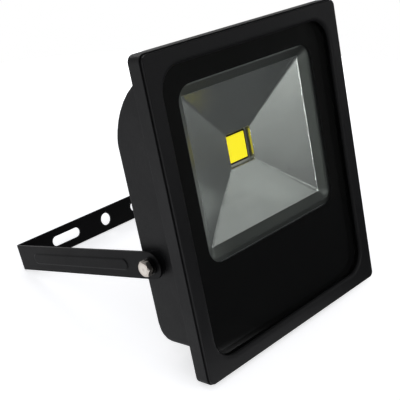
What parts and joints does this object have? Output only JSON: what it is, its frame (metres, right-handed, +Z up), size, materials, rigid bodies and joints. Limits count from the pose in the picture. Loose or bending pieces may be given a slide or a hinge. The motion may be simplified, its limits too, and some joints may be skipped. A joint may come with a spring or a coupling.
{
  "type": "floodlight",
  "caption": "Outdoor LED floodlight: finned cast housing with a curved top, framed glass over a folded reflector, and a U bracket that tilts on side bolts.",
  "frame": {"origin": "on the floor, under the middle of the object's box, with the lamp standing on its frame's lower back edge and the bracket's web", "axes": "+Z up, +Y from the lit face back to the bracket's web, +X to the right as seen from the front, along the tilt axis"},
  "size_m": [0.254, 0.2896, 0.2794],
  "materials": {
    "frame_coat": "fine black powder coat on a die casting",
    "housing_coat": "fine black powder coat on a die casting",
    "bracket_coat": "black powder coat on bent steel strip",
    "stainless": "plain stainless steel",
    "dark_steel": "blackened steel",
    "glass": "toughened glass with a black print round a clear window",
    "silicone": "moulded silicone",
    "bright_aluminium": "anodised bright reflector sheet",
    "driver_can": "plain pressed can",
    "white_board": "white solder mask",
    "phosphor": "yellow phosphor in silicone",
    "red_wire": "silicone insulation",
    "black_wire": "silicone insulation",
    "nylon": "moulded nylon"
  },
  "bodies": {
    "bracket": {"u_bracket": "bracket_coat"},
    "head": {"front_frame": "frame_coat", "back_housing": "housing_coat", "glass_pane": "glass", "glass_gasket": "silicone", "reflector": "bright_aluminium", "led_board": "white_board", "led_emitter": "phosphor", "driver_case": "driver_can", "lead_positive": "red_wire", "lead_negative": "black_wire", "gland_body": "nylon", "gland_nut": "nylon", "gland_seal": "silicone", "pivot_bolt_left": "stainless", "pivot_bolt_right": "stainless", "flat_washer_left": "dark_steel", "flat_washer_right": "dark_steel", "spring_washer_left": "dark_steel", "spring_washer_right": "dark_steel", "frame_screw_upper_left": "stainless", "frame_screw_upper_right": "stainless", "frame_screw_lower_right": "stainless", "frame_screw_lower_left": "stainless", "led_screw_upper_left": "stainless", "led_screw_upper_right": "stainless", "led_screw_lower_right": "stainless", "led_screw_lower_left": "stainless", "reflector_screw_upper_left": "stainless", "reflector_screw_upper_right": "stainless", "reflector_screw_lower_right": "stainless", "reflector_screw_lower_left": "stainless", "driver_screw_left": "stainless", "driver_screw_right": "stainless", "earth_screw": "stainless"}
  },
  "joints": [
    {"name": "head_tilt", "type": "hinge", "parent": "bracket", "child": "head", "pos_m": [0, -0.06941, 0.09203], "axis": [1, 0, 0], "range_deg": [-100, 94]}
  ]
}
